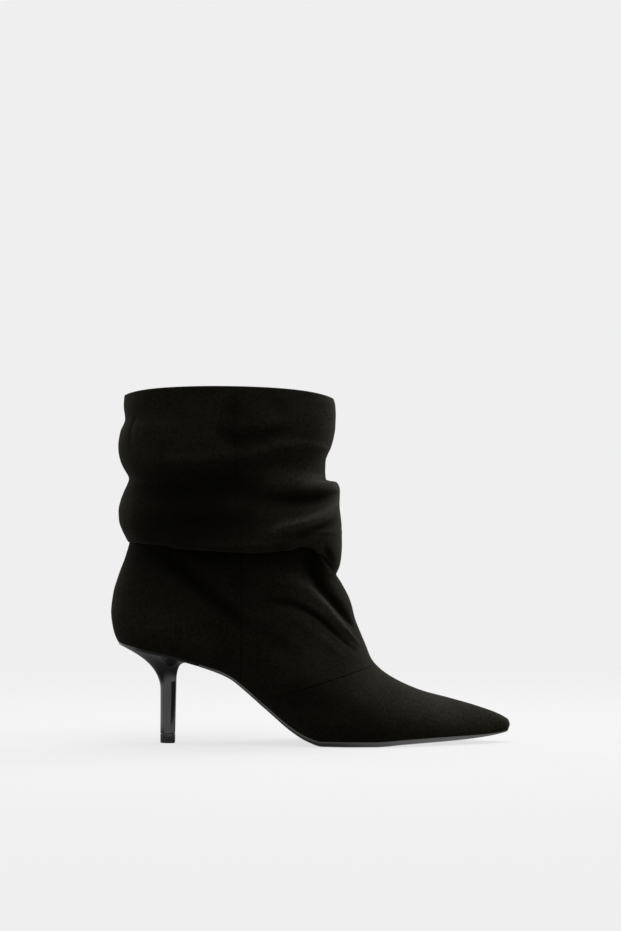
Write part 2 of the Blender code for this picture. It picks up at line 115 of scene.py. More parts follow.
# Rings round the counter and ankle, up to the tuck under the lowest fold.
COUNTER_COLUMNS = ("rise", "swell", "climb", "front", "hang")
COUNTER = (
    (0.125, 0.053, 0.02, 0.20, 0.00),
    (0.307, 0.087, 0.10, 0.42, 0.13),
    (0.488, 0.089, 0.30, 0.62, 0.34),
    (0.670, 0.068, 0.60, 0.78, 0.57),
    (0.851, 0.029, 0.85, 0.90, 0.80),
)

# Rings of the slouching shaft, from the lowest fold to the collar.
LEG_COLUMNS = ("back_x", "back_z", "side_y", "side_z", "front_x", "front_z", "hang")
LEG = (
    (-0.947, -0.002, 0.898, -0.014, 1.005, -0.002, 1.15),
    (-0.953, 0.003, 0.950, -0.049, 1.009, 0.009, 1.15),
    (-0.965, 0.013, 1.005, -0.059, 1.018, 0.019, 1.13),
    (-0.986, 0.041, 1.043, -0.041, 1.032, 0.038, 1.03),
    (-1.017, 0.085, 1.068, 0.010, 1.048, 0.078, 0.80),
    (-1.044, 0.148, 1.078, 0.082, 1.059, 0.159, 0.52),
    (-1.048, 0.214, 1.072, 0.165, 1.053, 0.262, 0.26),
    (-1.032, 0.275, 1.056, 0.250, 1.035, 0.373, 0.11),
    (-1.008, 0.325, 1.036, 0.325, 1.039, 0.450, 0.00),
    (-0.990, 0.355, 1.016, 0.375, 1.003, 0.496, 0.00),
    (-0.976, 0.377, 1.000, 0.412, 0.914, 0.506, 0.00),
    (-0.962, 0.402, 0.984, 0.455, 0.902, 0.553, 0.00),
    (-0.953, 0.426, 0.970, 0.503, 0.906, 0.610, 0.00),
    (-0.984, 0.462, 1.003, 0.516, 0.922, 0.640, 0.00),
    (-1.030, 0.520, 1.043, 0.556, 0.955, 0.680, 0.00),
    (-1.056, 0.610, 1.062, 0.640, 0.985, 0.735, 0.00),
    (-1.035, 0.718, 1.048, 0.742, 1.001, 0.790, 0.00),
    (-0.989, 0.804, 1.022, 0.820, 1.003, 0.850, 0.00),
    (-1.000, 0.886, 1.004, 0.902, 0.995, 0.910, 0.00),
    (-0.992, 0.963, 1.000, 0.994, 0.972, 0.954, 0.00),
)

LEG_FULLNESS = 0.82
LEG_BELLY = 0.50
HANG_SHARE = 0.24
HALF_COLUMNS = 120
ROW_STEPS = 8
ARC_POINTS = 160


def end_slope(step, slope):
    found = ((2 * step[0] + step[1]) * slope[0] - step[0] * slope[1]) / (step[0] + step[1])
    return found if found * slope[0] > 0 else 0.0


def level_curve(at, values, where):
    """Read, at where, the smooth curve through the points that never overshoots them."""
    step = np.diff(at)
    slope = np.diff(values) / step
    tangent = np.zeros(len(at))
    for i in range(1, len(at) - 1):
        if slope[i - 1] * slope[i] > 0:
            before = 2 * step[i] + step[i - 1]
            after = step[i] + 2 * step[i - 1]
            tangent[i] = (before + after) / (before / slope[i - 1] + after / slope[i])
    tangent[0] = end_slope(step, slope)
    tangent[-1] = end_slope(step[::-1], slope[::-1])
    where = np.clip(where, at[0], at[-1])
    k = np.clip(np.searchsorted(at, where, side="right") - 1, 0, len(step) - 1)
    t = (where - at[k]) / step[k]
    start = (1 + 2 * t) * (1 - t) ** 2 * values[k] + t * (1 - t) ** 2 * step[k] * tangent[k]
    end = t * t * (3 - 2 * t) * values[k + 1] - t * t * (1 - t) * step[k] * tangent[k + 1]
    return start + end


def columns(names, rows):
    return dict(zip(names, np.array(rows, dtype=float).T))


def finer(table, steps):
    """The same columns, read at even steps between the rows."""
    count = len(next(iter(table.values())))
    at = np.arange(count, dtype=float)
    where = np.linspace(0, count - 1, steps * (count - 1) + 1)
    return {name: level_curve(at, values, where) for name, values in table.items()}


def place(share):
    return -HEEL_INSET + share * SOLE_LENGTH


def share_at(x):
    return (x + HEEL_INSET) / SOLE_LENGTH


def turn(share):
    """Angle that runs evenly round an outline with round ends."""
    return np.arccos(1 - 2 * np.clip(share, 0, 1))


def unturn(angle):
    return (1 - np.cos(angle)) / 2


OUTLINE_TABLE = columns(OUTLINE_COLUMNS, OUTLINE)
SOLE_TABLE = columns(SOLE_COLUMNS, SOLE_LINE)


def outline_value(name, x):
    return level_curve(turn(OUTLINE_TABLE["along"]), OUTLINE_TABLE[name], turn(share_at(x)))


def sole_value(name, x):
    return level_curve(SOLE_TABLE["along"], SOLE_TABLE[name], share_at(x))


def edge_height(x):
    """Height of the sole edge, where upper, sole and heel meet."""
    seat = sole_value("rise", x) * (HEEL_HEIGHT - SOLE_THICKNESS)
    toe = sole_value("spring", x) * (TOE_SPRING + TOE_EDGE - SOLE_THICKNESS)
    return SOLE_THICKNESS + seat + toe


def centre(x):
    return TOE_SWING * outline_value("swing", x)


def edge_half(x, side):
    return HALF_BALL * outline_value("outer" if side < 0 else "inner", x)


def conic(start, corner, end, fullness):
    """Points of the arc from start to end that leans towards corner."""
    t = np.linspace(0, 1, ARC_POINTS)[:, None]
    weights = np.hstack([(1 - t) ** 2, 2 * fullness * t * (1 - t), t ** 2])
    return weights @ np.array([start, corner, end]) / weights.sum(axis=1, keepdims=True)


def spread(points, count):
    """The same line with count points at even distances."""
    run = np.concatenate([[0], np.cumsum(np.hypot(*np.diff(points, axis=0).T))])
    where = np.linspace(0, run[-1], count)
    return np.column_stack([np.interp(where, run, values) for values in points.T])


def half_section(row, side):
    """Half a section of the upper, from the sole edge or back line over to the ridge or front."""
    name = "outer" if side < 0 else "inner"
    edge, wide = row["edge_" + name], max(row[name], 0.0)
    full = max(wide, WALL)
    reach = math.hypot(row["front_x"] - row["back_x"], row["front_z"] + row["hang"] - row["back_z"])
    belly = row["belly"] * reach
    lower = conic((edge, 0), (wide, belly * edge / (2 * full)), (wide, belly), row["under"])
    upper = conic((wide, belly), (wide, reach), (0, reach), row["crown"])
    half, up = spread(np.vstack([lower, upper[1:]]), HALF_COLUMNS + 1).T
    share = up / reach
    x = row["back_x"] + share * (row["front_x"] - row["back_x"])
    z = row["back_z"] + share * (row["front_z"] + row["hang"] - row["back_z"])
    z += row["lift"] * (half / full) ** 2
    from_front = np.linspace(1, 0, HALF_COLUMNS + 1)
    z -= row["hang"] * np.cos(math.pi / 2 * np.minimum(from_front / HANG_SHARE, 1)) ** 2
    ends = centre(np.array([row["back_x"], row["front_x"]]))
    return np.column_stack([x, ends[0] + share * (ends[1] - ends[0]) + side * half, z])


def section_rows():
    """Every section of the upper, as columns of values, and where its closed rings begin."""
    foot = columns(FOOT_COLUMNS, FOOT)
    foot["edge"] = turn(foot["edge"])
    foot = finer(foot, ROW_STEPS)
    back_x, front_x = place(unturn(foot["edge"])), place(foot["ridge"])
    none = np.zeros(len(back_x))
    rows = {
        "back_x": back_x, "back_z": edge_height(back_x),
        "front_x": front_x, "front_z": edge_height(front_x) + foot["rise"] * INSTEP_HEIGHT,
        "edge_outer": edge_half(back_x, -1), "edge_inner": edge_half(back_x, 1),
        "outer": foot["outer"] * HALF_BALL, "inner": foot["inner"] * HALF_BALL,
        "belly": foot["belly"], "under": foot["under"], "crown": foot["crown"],
        "lift": none, "hang": none}
    seat = {name: values[-1] for name, values in rows.items()}

    leg = columns(LEG_COLUMNS, LEG)
    leg_back = FOLD_HEIGHT + leg["back_z"] * (BOOT_HEIGHT - FOLD_HEIGHT)
    leg_side = FOLD_HEIGHT + leg["side_z"] * (BOOT_HEIGHT - FOLD_HEIGHT)
    leg_front = INSTEP_HEIGHT + leg["front_z"] * (BOOT_HEIGHT - INSTEP_HEIGHT)
    leg_hang = leg["hang"] * (FOLD_HEIGHT - INSTEP_HEIGHT)
    same = np.ones(len(leg_back))
    rings = {
        "back_x": LEG_MIDDLE + leg["back_x"] * LEG_LENGTH / 2, "back_z": leg_back,
        "front_x": LEG_MIDDLE + leg["front_x"] * LEG_LENGTH / 2, "front_z": leg_front,
        "edge_outer": 0 * same, "edge_inner": 0 * same,
        "outer": leg["side_y"] * LEG_WIDTH / 2, "inner": leg["side_y"] * LEG_WIDTH / 2,
        "belly": LEG_BELLY * same, "under": LEG_FULLNESS * same, "crown": LEG_FULLNESS * same,
        "lift": leg_side - leg_back - LEG_BELLY * (leg_front + leg_hang - leg_back),
        "hang": leg_hang}
    tuck = {name: values[0] for name, values in rings.items()}

    ankle = columns(COUNTER_COLUMNS, COUNTER)
    between = {}
    for name in rows:
        share = ankle["front"] if name in ("front_x", "front_z") else ankle["climb"]
        between[name] = seat[name] + share * (tuck[name] - seat[name])
    between["back_x"] = between["back_x"] - ankle["swell"] * COUNTER_HEIGHT
    between["back_z"] = HEEL_HEIGHT + ankle["rise"] * COUNTER_HEIGHT
    between["hang"] = ankle["hang"] * tuck["hang"]

    closed = {name: np.concatenate([[seat[name]], between[name], rings[name]]) for name in rows}
    closed = finer(closed, ROW_STEPS)
    first_closed = len(back_x) - 1
    return {name: np.concatenate([rows[name], closed[name][1:]]) for name in rows}, first_closed


def unit(vectors):
    return vectors / np.maximum(np.linalg.norm(vectors, axis=-1, keepdims=True), 1e-12)


def grid_normals(points):
    """Outward normals of a grid of points."""
    across = np.gradient(points, axis=1)
    onward = np.gradient(points, axis=0)
    return unit(np.cross(across, onward))


values, first_closed = section_rows()
sections = [dict(zip(values, row)) for row in zip(*values.values())]
skin = np.array([np.vstack([half_section(row, -1), half_section(row, 1)[-2::-1]])
                 for row in sections])
skin_rows, skin_columns = skin.shape[:2]

# Towards the back, the lower edge of the big roll is drawn up a little (x and lift, mm).
ROLL_LIFT = ((-26, 1.2), (-15, 2.8), (-3, 4.3), (12, 3.5), (28, 3.4), (40, 2.5), (52, 1.5),
             (68, 0.6), (80, 0.0), (110, 0.0))
LIFT_ROWS = (-32, -8, 24, 56)         # rows from the fold where the lift starts, is full and ends
fold_row = first_closed + (len(COUNTER) + 1) * ROW_STEPS
rows_up = (np.arange(skin_rows) - fold_row)[:, None]
lift_at, lift_by = np.array(ROLL_LIFT).T * MM
lift_share = np.interp(rows_up, LIFT_ROWS, (0, 1, 1, 0))
lift_share = lift_share * lift_share * (3 - 2 * lift_share)
skin[..., 2] += lift_share * level_curve(lift_at, lift_by, skin[..., 0])
skin_normals = grid_normals(skin)

# A few millimetres of easy waviness on the shaft and instep, less on the lasted toe and heel.
SLACK = 0.55 * MM
SLACK_WAVE = 26 * MM
SLACK_FROM = 0.085            # height where the waviness starts to grow
SLACK_OVER = 0.050
LASTED_SLACK = 0.12           # share of it below
waves = np.array([noise.noise(Vector(p) / SLACK_WAVE) for p in skin.reshape(-1, 3)])
looseness = np.clip((skin[..., 2] - SLACK_FROM) / SLACK_OVER, LASTED_SLACK, 1)
skin = skin + skin_normals * (SLACK * waves.reshape(skin.shape[:2]) * looseness)[..., None]

# Creases, in millimetres: side (-1 outer, 1 inner), x, z, depth (less than 0 is a
# ridge) and half width, along each line.
CREASES = (
    # hollow of the shaft above the front fold, and the fold's edge
    ((-1, 30, 200, 0, 7), (-1, 44, 189, 1.3, 6), (-1, 58, 191, 1.4, 5.5), (-1, 72, 194.5, 1.0, 5),
     (-1, 84, 195, 0, 5)),
    ((-1, 40, 178, 0, 3), (-1, 50, 180.5, -0.9, 3), (-1, 60, 183, -1.3, 2.8),
     (-1, 71, 186.2, -1.4, 2.6), (-1, 83, 187, -1.2, 2.6), (-1, 96, 185, -0.8, 2.4),
     (-1, 101, 182, 0, 2)),
    # lazy dents high on the shaft
    ((-1, -14, 214, 0, 8), (-1, 2, 208, 0.7, 8), (-1, 14, 199, 0.6, 8), (-1, 22, 190, 0, 8)),
    ((-1, 62, 214, 0, 7), (-1, 70, 208, 0.6, 7), (-1, 80, 204, 0, 7)),
    # broad hollow under the upper bulge, from the back of the shaft to the pocket
    ((-1, -21, 162, 0, 10), (-1, -12, 158, 1.6, 12), (-1, 4, 157, 2.6, 13), (-1, 22, 158, 3.0, 14),
     (-1, 40, 160, 2.8, 13), (-1, 54, 161, 1.8, 11), (-1, 68, 160, 0, 9)),
    ((-1, -21, 142, 0, 10), (-1, -10, 139, 1.8, 12), (-1, 8, 137.5, 2.6, 13), (-1, 28, 137, 2.8, 13),
     (-1, 46, 139, 2.0, 11), (-1, 60, 141, 0, 9)),
    # lip of the big roll
    ((-1, -18, 127, 0, 4), (-1, -4, 126, -0.4, 4), (-1, 20, 124, -0.6, 4), (-1, 44, 124, -0.7, 4),
     (-1, 62, 125.5, -0.8, 4), (-1, 74, 128, 0, 4)),
    # the shelf runs out along the side
    ((-1, 58, 166, 0, 5), (-1, 70, 166.5, -1.2, 4.5), (-1, 84, 166, -2.0, 4), (-1, 96, 165, -1.6, 3),
     (-1, 101, 164, 0, 3)),
    # dark pocket behind the front shelf
    ((-1, 42, 156, 0, 9), (-1, 56, 153, 1.0, 8), (-1, 69, 152.2, 2.0, 6.6), (-1, 81, 152.3, 3.0, 5.6),
     (-1, 93, 153.3, 3.2, 4.6), (-1, 101, 155, 1.9, 3.4), (-1, 106, 157, 0, 2.5)),
    # ridge that runs back and down from the shelf over the big roll
    ((-1, 108, 154, 0, 3), (-1, 103, 147, -1.4, 3), (-1, 96, 142, -2.0, 3.2),
     (-1, 85, 138.4, -2.2, 3.4), (-1, 75, 136.4, -2.2, 3.6), (-1, 67, 133, -1.6, 3.8),
     (-1, 61, 127, 0, 4)),
    ((-1, 107, 141, 0, 2), (-1, 98, 136, 1.1, 2.6), (-1, 88, 132, 1.3, 2.6), (-1, 77, 127.5, 0, 3)),
    # little pucker on the roll at the front
    ((-1, 80, 131.5, 0, 1.8), (-1, 90, 132.8, -0.8, 1.8), (-1, 100, 132.6, -0.8, 1.6),
     (-1, 106, 131.9, -0.4, 1.5), (1, 106, 131.5, 0, 1.5)),
    # round bump with a dimple where the drape turns under
    ((-1, 97.5, 124, 0, 3), (-1, 100, 119.5, 1.6, 2.8), (-1, 103.5, 113.5, 0, 2.6)),
    ((-1, 91, 124, 0, 2.2), (-1, 94.5, 118, -1.1, 2.2), (-1, 98.5, 111, -1.0, 2.2), (-1, 103, 105, 0, 2.2)),
    # slivers at the back of the shaft
    ((-1, -17, 207, 0, 2.2), (-1, -21, 199, 0.7, 2.2), (-1, -22, 190, 0.5, 2.5), (-1, -20, 183, 0, 3)),
    # soft hollow down the side seam
    ((-1, 38, 214, 0, 9), (-1, 41, 204, 1.1, 9), (-1, 40, 193, 0.8, 9), (-1, 36, 184, 0, 9)),
    # instep: long valley behind the drape, broad ridge, narrow valley, faint ridge
    ((-1, 79, 123, 0, 4.5), (-1, 85.5, 115.5, 2.2, 4.8), (-1, 94, 102.5, 3.2, 4.8),
     (-1, 102.5, 91, 3.2, 4.2), (-1, 111, 80, 2.2, 3.2), (-1, 118, 71, 0, 2.5)),
    ((-1, 62, 100, 0, 5), (-1, 75, 104, -1.4, 5), (-1, 86, 98.5, -2.0, 4.4), (-1, 95.5, 89.5, -2.0, 3.8),
     (-1, 104.5, 79, -1.9, 3.2), (-1, 113, 69.5, -1.4, 2.5), (-1, 121, 61, 0, 2)),
    ((-1, 57, 91.5, 0, 3), (-1, 69, 90, 1.3, 3), (-1, 81, 86.8, 1.8, 2.9), (-1, 91, 81.5, 2.1, 2.6),
     (-1, 101, 73.5, 2.0, 2.4), (-1, 110, 65, 1.3, 2.1), (-1, 119, 57, 0, 2)),
    ((-1, 73, 83, 0, 4), (-1, 86, 75.5, -0.8, 4), (-1, 98, 66, -0.8, 3.6), (-1, 111, 55.5, 0, 3)),
    ((-1, 46, 78, 0, 6), (-1, 60, 70, 0.7, 6), (-1, 74, 60, 0.6, 6), (-1, 84, 50, 0, 6)),
    # long soft valley from the back of the roll down to the waist
    ((-1, -4, 120, 0, 7), (-1, 6, 113.5, 1.6, 7), (-1, 17, 103.3, 2.2, 7), (-1, 29.5, 91, 2.1, 6.5),
     (-1, 41, 81, 1.6, 6), (-1, 54, 68, 0, 6)),
    # inner side: the same slouch, its folds a little lower and wider apart
    ((1, 40, 184, 0, 3), (1, 56, 186, -1.1, 3), (1, 72, 190, -1.3, 2.8), (1, 88, 189, -1.0, 2.6),
     (1, 100, 183, 0, 2.4)),
    ((1, -20, 161, 0, 9), (1, -8, 157, 2.0, 12), (1, 12, 155, 3.4, 13), (1, 34, 156, 3.6, 13),
     (1, 52, 158, 2.0, 11), (1, 66, 158, 0, 9)),
    ((1, 58, 148, 0, 5), (1, 74, 150.5, 2.4, 5), (1, 90, 152, 3.2, 4.2), (1, 101, 155, 1.6, 3),
     (1, 106, 158, 0, 2)),
    ((1, 107, 152, 0, 3), (1, 98, 143.5, -1.8, 3), (1, 86, 138.5, -2.0, 3.2), (1, 72, 135.5, -1.6, 3.6),
     (1, 60, 127, 0, 4)),
    ((1, 58, 163, 0, 5), (1, 72, 164.5, -1.4, 4.5), (1, 87, 165.5, -2.0, 4), (1, 99, 164.5, 0, 3)),
    ((1, -10, 122.5, 0, 4), (1, 10, 119.5, -0.9, 4), (1, 36, 119, -1.0, 4), (1, 58, 123, 0, 4)),
    ((1, 80, 122, 0, 4.5), (1, 89, 114, 2.1, 4.4), (1, 98, 102, 2.8, 4), (1, 107, 88, 2.2, 3.4),
     (1, 115, 76, 0, 2.8)),
    ((1, 62, 101, 0, 5), (1, 77, 103, -1.5, 4.6), (1, 92, 94, -2.0, 3.7), (1, 105, 80, -1.5, 3),
     (1, 117, 67, 0, 2.4)),
    ((1, 54, 88, 0, 3.2), (1, 71, 87, 1.6, 3), (1, 88, 82, 1.9, 2.7), (1, 102, 73, 1.4, 2.4),
     (1, 114, 62, 0, 2)),
    ((1, -4, 119, 0, 7), (1, 12, 104, 2.4, 7), (1, 31, 88, 2.2, 6.5), (1, 50, 72, 0, 6)),
)


def faces_of(ids):
    """Quads over a grid of vertex numbers."""
    return np.stack([ids[:-1, :-1], ids[:-1, 1:], ids[1:, 1:], ids[1:, :-1]], axis=-1).reshape(-1, 4)


LINE_STEP = 0.6 * MM
grid_ids = np.arange(skin_rows * skin_columns).reshape(skin_rows, skin_columns)
tree = BVHTree.FromPolygons(skin.reshape(-1, 3).tolist(), faces_of(grid_ids).tolist())


def line_on_skin(places):
    """Samples along a smooth line over the skin: point, normal, depth and half width."""
    spots = []
    for side, x, z, depth, width in places:
        hit = tree.ray_cast(Vector((x * MM, side * LEG_LENGTH, z * MM)), Vector((0, -side, 0)))
        if hit[0] is None:
            hit = tree.find_nearest(Vector((x * MM, 0, z * MM)))
        spots.append([*hit[0], depth * MM, width * MM])
    spots = np.array(spots)
    run = np.concatenate([[0], np.cumsum(np.linalg.norm(np.diff(spots[:, :3], axis=0), axis=1))])
    where = np.arange(0, run[-1], LINE_STEP)
    line = np.column_stack([level_curve(run, column, where) for column in spots.T])
    nearest = [tree.find_nearest(Vector(point)) for point in line[:, :3]]
    points = np.array([found[0] for found in nearest])
    normals = np.array([found[1] for found in nearest])
    return points, normals, line[:, 3], line[:, 4]


SIDE_SWELL = 0.45             # how much the skin rises beside a trough
SAME_FACE = 0.1               # a crease leaves skin alone that faces away from it
SAME_FACE_OVER = 0.4


def crease_depths(points, normals, lines):
    """How far each point of the skin sinks, all lines together; from the painted light lines, how much
    painted shade it gets, below 0 painted highlight.
    """
    flat, facing = points.reshape(-1, 3), normals.reshape(-1, 3)
    depth_and_shade = np.zeros(len(flat))
    for places in lines:
        line, line_normals, depth, width = line_on_skin(places)
        margin = 3 * width.max()
        near = np.nonzero(np.all((flat > line.min(0) - margin) & (flat < line.max(0) + margin), axis=1))[0]
        gaps = np.linalg.norm(flat[near, None] - line[None], axis=2)
        k = gaps.argmin(axis=1)
        u = gaps[np.arange(len(near)), k] / width[k]
        agree = np.sum(facing[near] * line_normals[k], axis=1)
        same_face = np.clip((agree - SAME_FACE) / SAME_FACE_OVER, 0, 1)
        depth_and_shade[near] += depth[k] * (1 - SIDE_SWELL * u * u) * np.exp(-u * u) * same_face
    return depth_and_shade.reshape(points.shape[:2])


# Painted highlight and painted shade in the suede's colour, along lines like the creases: less than 0 is a
# lighter painted highlight, more than 0 a darker painted shade.
PAINTED_LIGHT_LINES = (
    ((-1, -26, 84, -0.5, 12), (-1, -4, 74, -1.5, 13), (-1, 16, 67, -1.1, 12), (-1, 34, 60, 0, 10)),
    ((-1, -16, 216, -0.3, 9), (-1, 4, 211, -0.8, 10), (-1, 20, 205, 0, 9)),
    ((-1, -20, 184, -0.3, 7), (-1, -4, 179, -1.2, 5), (-1, 14, 178.5, -1.6, 4.5),
     (-1, 32, 180.5, -1.4, 4.5), (-1, 46, 182, -0.4, 5)),
    ((-1, 75, 102, -0.8, 6), (-1, 86, 97, -2.2, 6), (-1, 97, 86.5, -2.0, 5), (-1, 108, 74, -0.9, 4)),
    ((-1, 140, 30, 0, 12), (-1, 165, 22, -1.2, 12), (-1, 190, 15, -2.0, 12), (-1, 212, 12, -2.4, 9)),
    ((-1, 70, 134, -0.8, 4.5), (-1, 80, 137, -2.4, 4.5), (-1, 92, 140.5, -3.0, 4.5),
     (-1, 102, 146, -3.0, 4.5), (-1, 106, 152, -2.2, 4)),
    ((-1, 84, 163, -0.8, 5), (-1, 97, 163.5, -3.2, 5), (-1, 107, 161, -4.4, 5)),
    ((-1, 78, 131, 0, 3), (-1, 88, 134.5, 1.2, 3), (-1, 99, 138, 1.0, 3), (-1, 107, 141, 0, 3)),
    ((-1, 94, 121, -0.6, 3), (-1, 97, 115, -1.8, 3), (-1, 101, 108, -1.2, 3)),
    ((-1, 70, 36, 0, 14), (-1, 94, 30, 1.7, 14), (-1, 120, 20, 1.5, 12), (-1, 142, 12, 0, 8)),
    ((-1, -16, 128, 0.5, 6), (-1, 8, 126, 1.1, 6), (-1, 34, 126, 1.0, 6), (-1, 56, 130, 0, 6)),
    ((1, -26, 84, -0.5, 12), (1, -4, 74, -1.4, 13), (1, 20, 66, -0.9, 12), (1, 36, 58, 0, 10)),
    ((1, 140, 30, 0, 12), (1, 168, 22, -1.0, 12), (1, 195, 14, -1.5, 11), (1, 212, 12, -1.8, 9)),
)

# The crease depths sink the skin and, kept on the mesh, also darken the suede's colour in the hollows as
# painted shade.
depth_and_shade = crease_depths(skin, skin_normals, CREASES)
painted_light = crease_depths(skin, skin_normals, PAINTED_LIGHT_LINES)
skin = skin - skin_normals * depth_and_shade[..., None]

# The crease under the upper bulge is a soft fold, not a pressed one.
ROUND_PASSES = 26
ROUND_LOW = 0.160             # it lies between these heights, behind the front
ROUND_HIGH = 0.190
ROUND_FRONT = 0.098
ROUND_EDGE = 0.008            # over which the rounding fades out, up and down
ROUND_FRONT_EDGE = 0.012
ease = (np.clip((skin[..., 2] - ROUND_LOW) / ROUND_EDGE, 0, 1)
        * np.clip((ROUND_HIGH - skin[..., 2]) / ROUND_EDGE, 0, 1)
        * np.clip((ROUND_FRONT - skin[..., 0]) / ROUND_FRONT_EDGE, 0, 1))[..., None]
for _ in range(ROUND_PASSES):
    rounder = skin.copy()
    rounder[1:-1] = (skin[:-2] + 2 * skin[1:-1] + skin[2:]) / 4
    skin = skin + ease * (rounder - skin)

# The collar edge stands up in a slight arch, with its front and back corners eased down.
ARCH_RISE = 1.35 * MM
ARCH_DROP = (1.9 * MM, 3.0 * MM)      # back, front
ARCH_REACH = 0.022
reach = (skin[-2, :, 0] - LEG_MIDDLE) / (np.ptp(skin[-2, :, 0]) / 2)
arch = ARCH_RISE - np.where(reach < 0, *ARCH_DROP) * reach ** 8
high = np.clip(1 - (skin[-2, :, 2].max() - skin[..., 2]) / ARCH_REACH, 0, 1) ** 1.5
skin[..., 2] += high * arch

# Painted shade at the tuck under the big roll, where the roll shades it, added to the crease depths and the
# painted light lines; from here on they only colour the suede.
TUCK_SHADE = 4.2 * MM
TUCK_ROWS = (13, 4)                   # rows shaded below and above it
depth_and_shade = depth_and_shade + painted_light + TUCK_SHADE * np.exp(-(rows_up / np.where(rows_up < 0, *TUCK_ROWS)) ** 2)

# The collar edge is rolled over: the skin turns round its own thickness and runs down inside.
EDGE_TURN = 7
FACING_ROWS = 12
inside = skin - skin_normals * WALL
collar = skin_rows - 2
middle = (skin[collar] + inside[collar]) / 2
outward = (skin[collar] - inside[collar]) / 2
upward = unit(skin[collar] - skin[collar - 1]) * WALL / 2
edge_rows = [middle + outward * math.cos(a) + upward * math.sin(a)
             for a in np.linspace(0, math.pi, EDGE_TURN + 2)[1:-1]]
facing_rows = inside[collar:collar - FACING_ROWS:-1]
skin_all = np.concatenate([skin[:collar + 1], edge_rows, facing_rows])
depth_and_shade_all = np.concatenate([depth_and_shade[:collar + 1], np.zeros((EDGE_TURN + FACING_ROWS, skin_columns))])


def grid_mesh(name, points, closed_from, values=None):
    """Mesh over a grid whose rows are closed from closed_from on, and whose first row is the tip."""
    rows, across = points.shape[:2]
    ids = np.arange(rows * across).reshape(rows, across)
    ids[closed_from:, -1] = ids[closed_from:, 0]
    ids[0, across // 2 + 1:] = ids[0, across // 2 - 1::-1]
    quads = faces_of(ids)
    used, numbered = np.unique(quads, return_inverse=True)
    mesh = bpy.data.meshes.new(name)
    mesh.from_pydata(points.reshape(-1, 3)[used].tolist(), [], numbered.reshape(-1, 4).tolist())
    if values is not None:
        # The values kept here darken the suede's colour: painted shade in creases and at the tuck, painted
        # highlight where they are below 0.
        held = mesh.attributes.new("depth_and_shade", "FLOAT", "POINT")
        held.data.foreach_set("value", values.reshape(-1)[used].astype(np.float32) / MM)
    mesh.validate()
    mesh.shade_smooth()
    made = bpy.data.objects.new(name, mesh)
    bpy.context.scene.collection.objects.link(made)
    return made


def new_material(name, colour, roughness):
    """A Principled material, its shader and a function that adds nodes to it."""
    material = bpy.data.materials.new(name)
    material.use_nodes = True
    tree = material.node_tree
    shader = tree.nodes["Principled BSDF"]
    shader.inputs["Base Color"].default_value = (*colour, 1)
    shader.inputs["Roughness"].default_value = roughness

    def add(kind, links=(), **settings):
        node = tree.nodes.new(kind)
        for key, value in settings.items():
            setattr(node, key, value)
        for socket, source in dict(links).items():
            if isinstance(source, bpy.types.NodeSocket):
                tree.links.new(source, node.inputs[socket])
            else:
                node.inputs[socket].default_value = source
        return node

    def join(source, target):
        tree.links.new(source, target)

    return material, shader, add, join


SUEDE_DARK = (0.0022, 0.0019, 0.0010)
SUEDE_LIGHT = (0.0172, 0.0158, 0.0115)
SUEDE_SHEEN = (0.72, 0.67, 0.58)
SIDE_SEAM_X = 46.6 * MM
SIDE_SEAM_LEAN = -3.5 * MM    # how much further back the seam sits on the shaft
SIDE_SEAM_TURN = (0.125, 0.165)       # heights between which it moves back
SIDE_SEAM_FADE = (0.118, 0.128)       # heights between which it fades
VAMP_SEAM_X = 63.9 * MM
VAMP_SEAM_Z = 29.3 * MM
VAMP_SEAM_SLOPE = 0.313


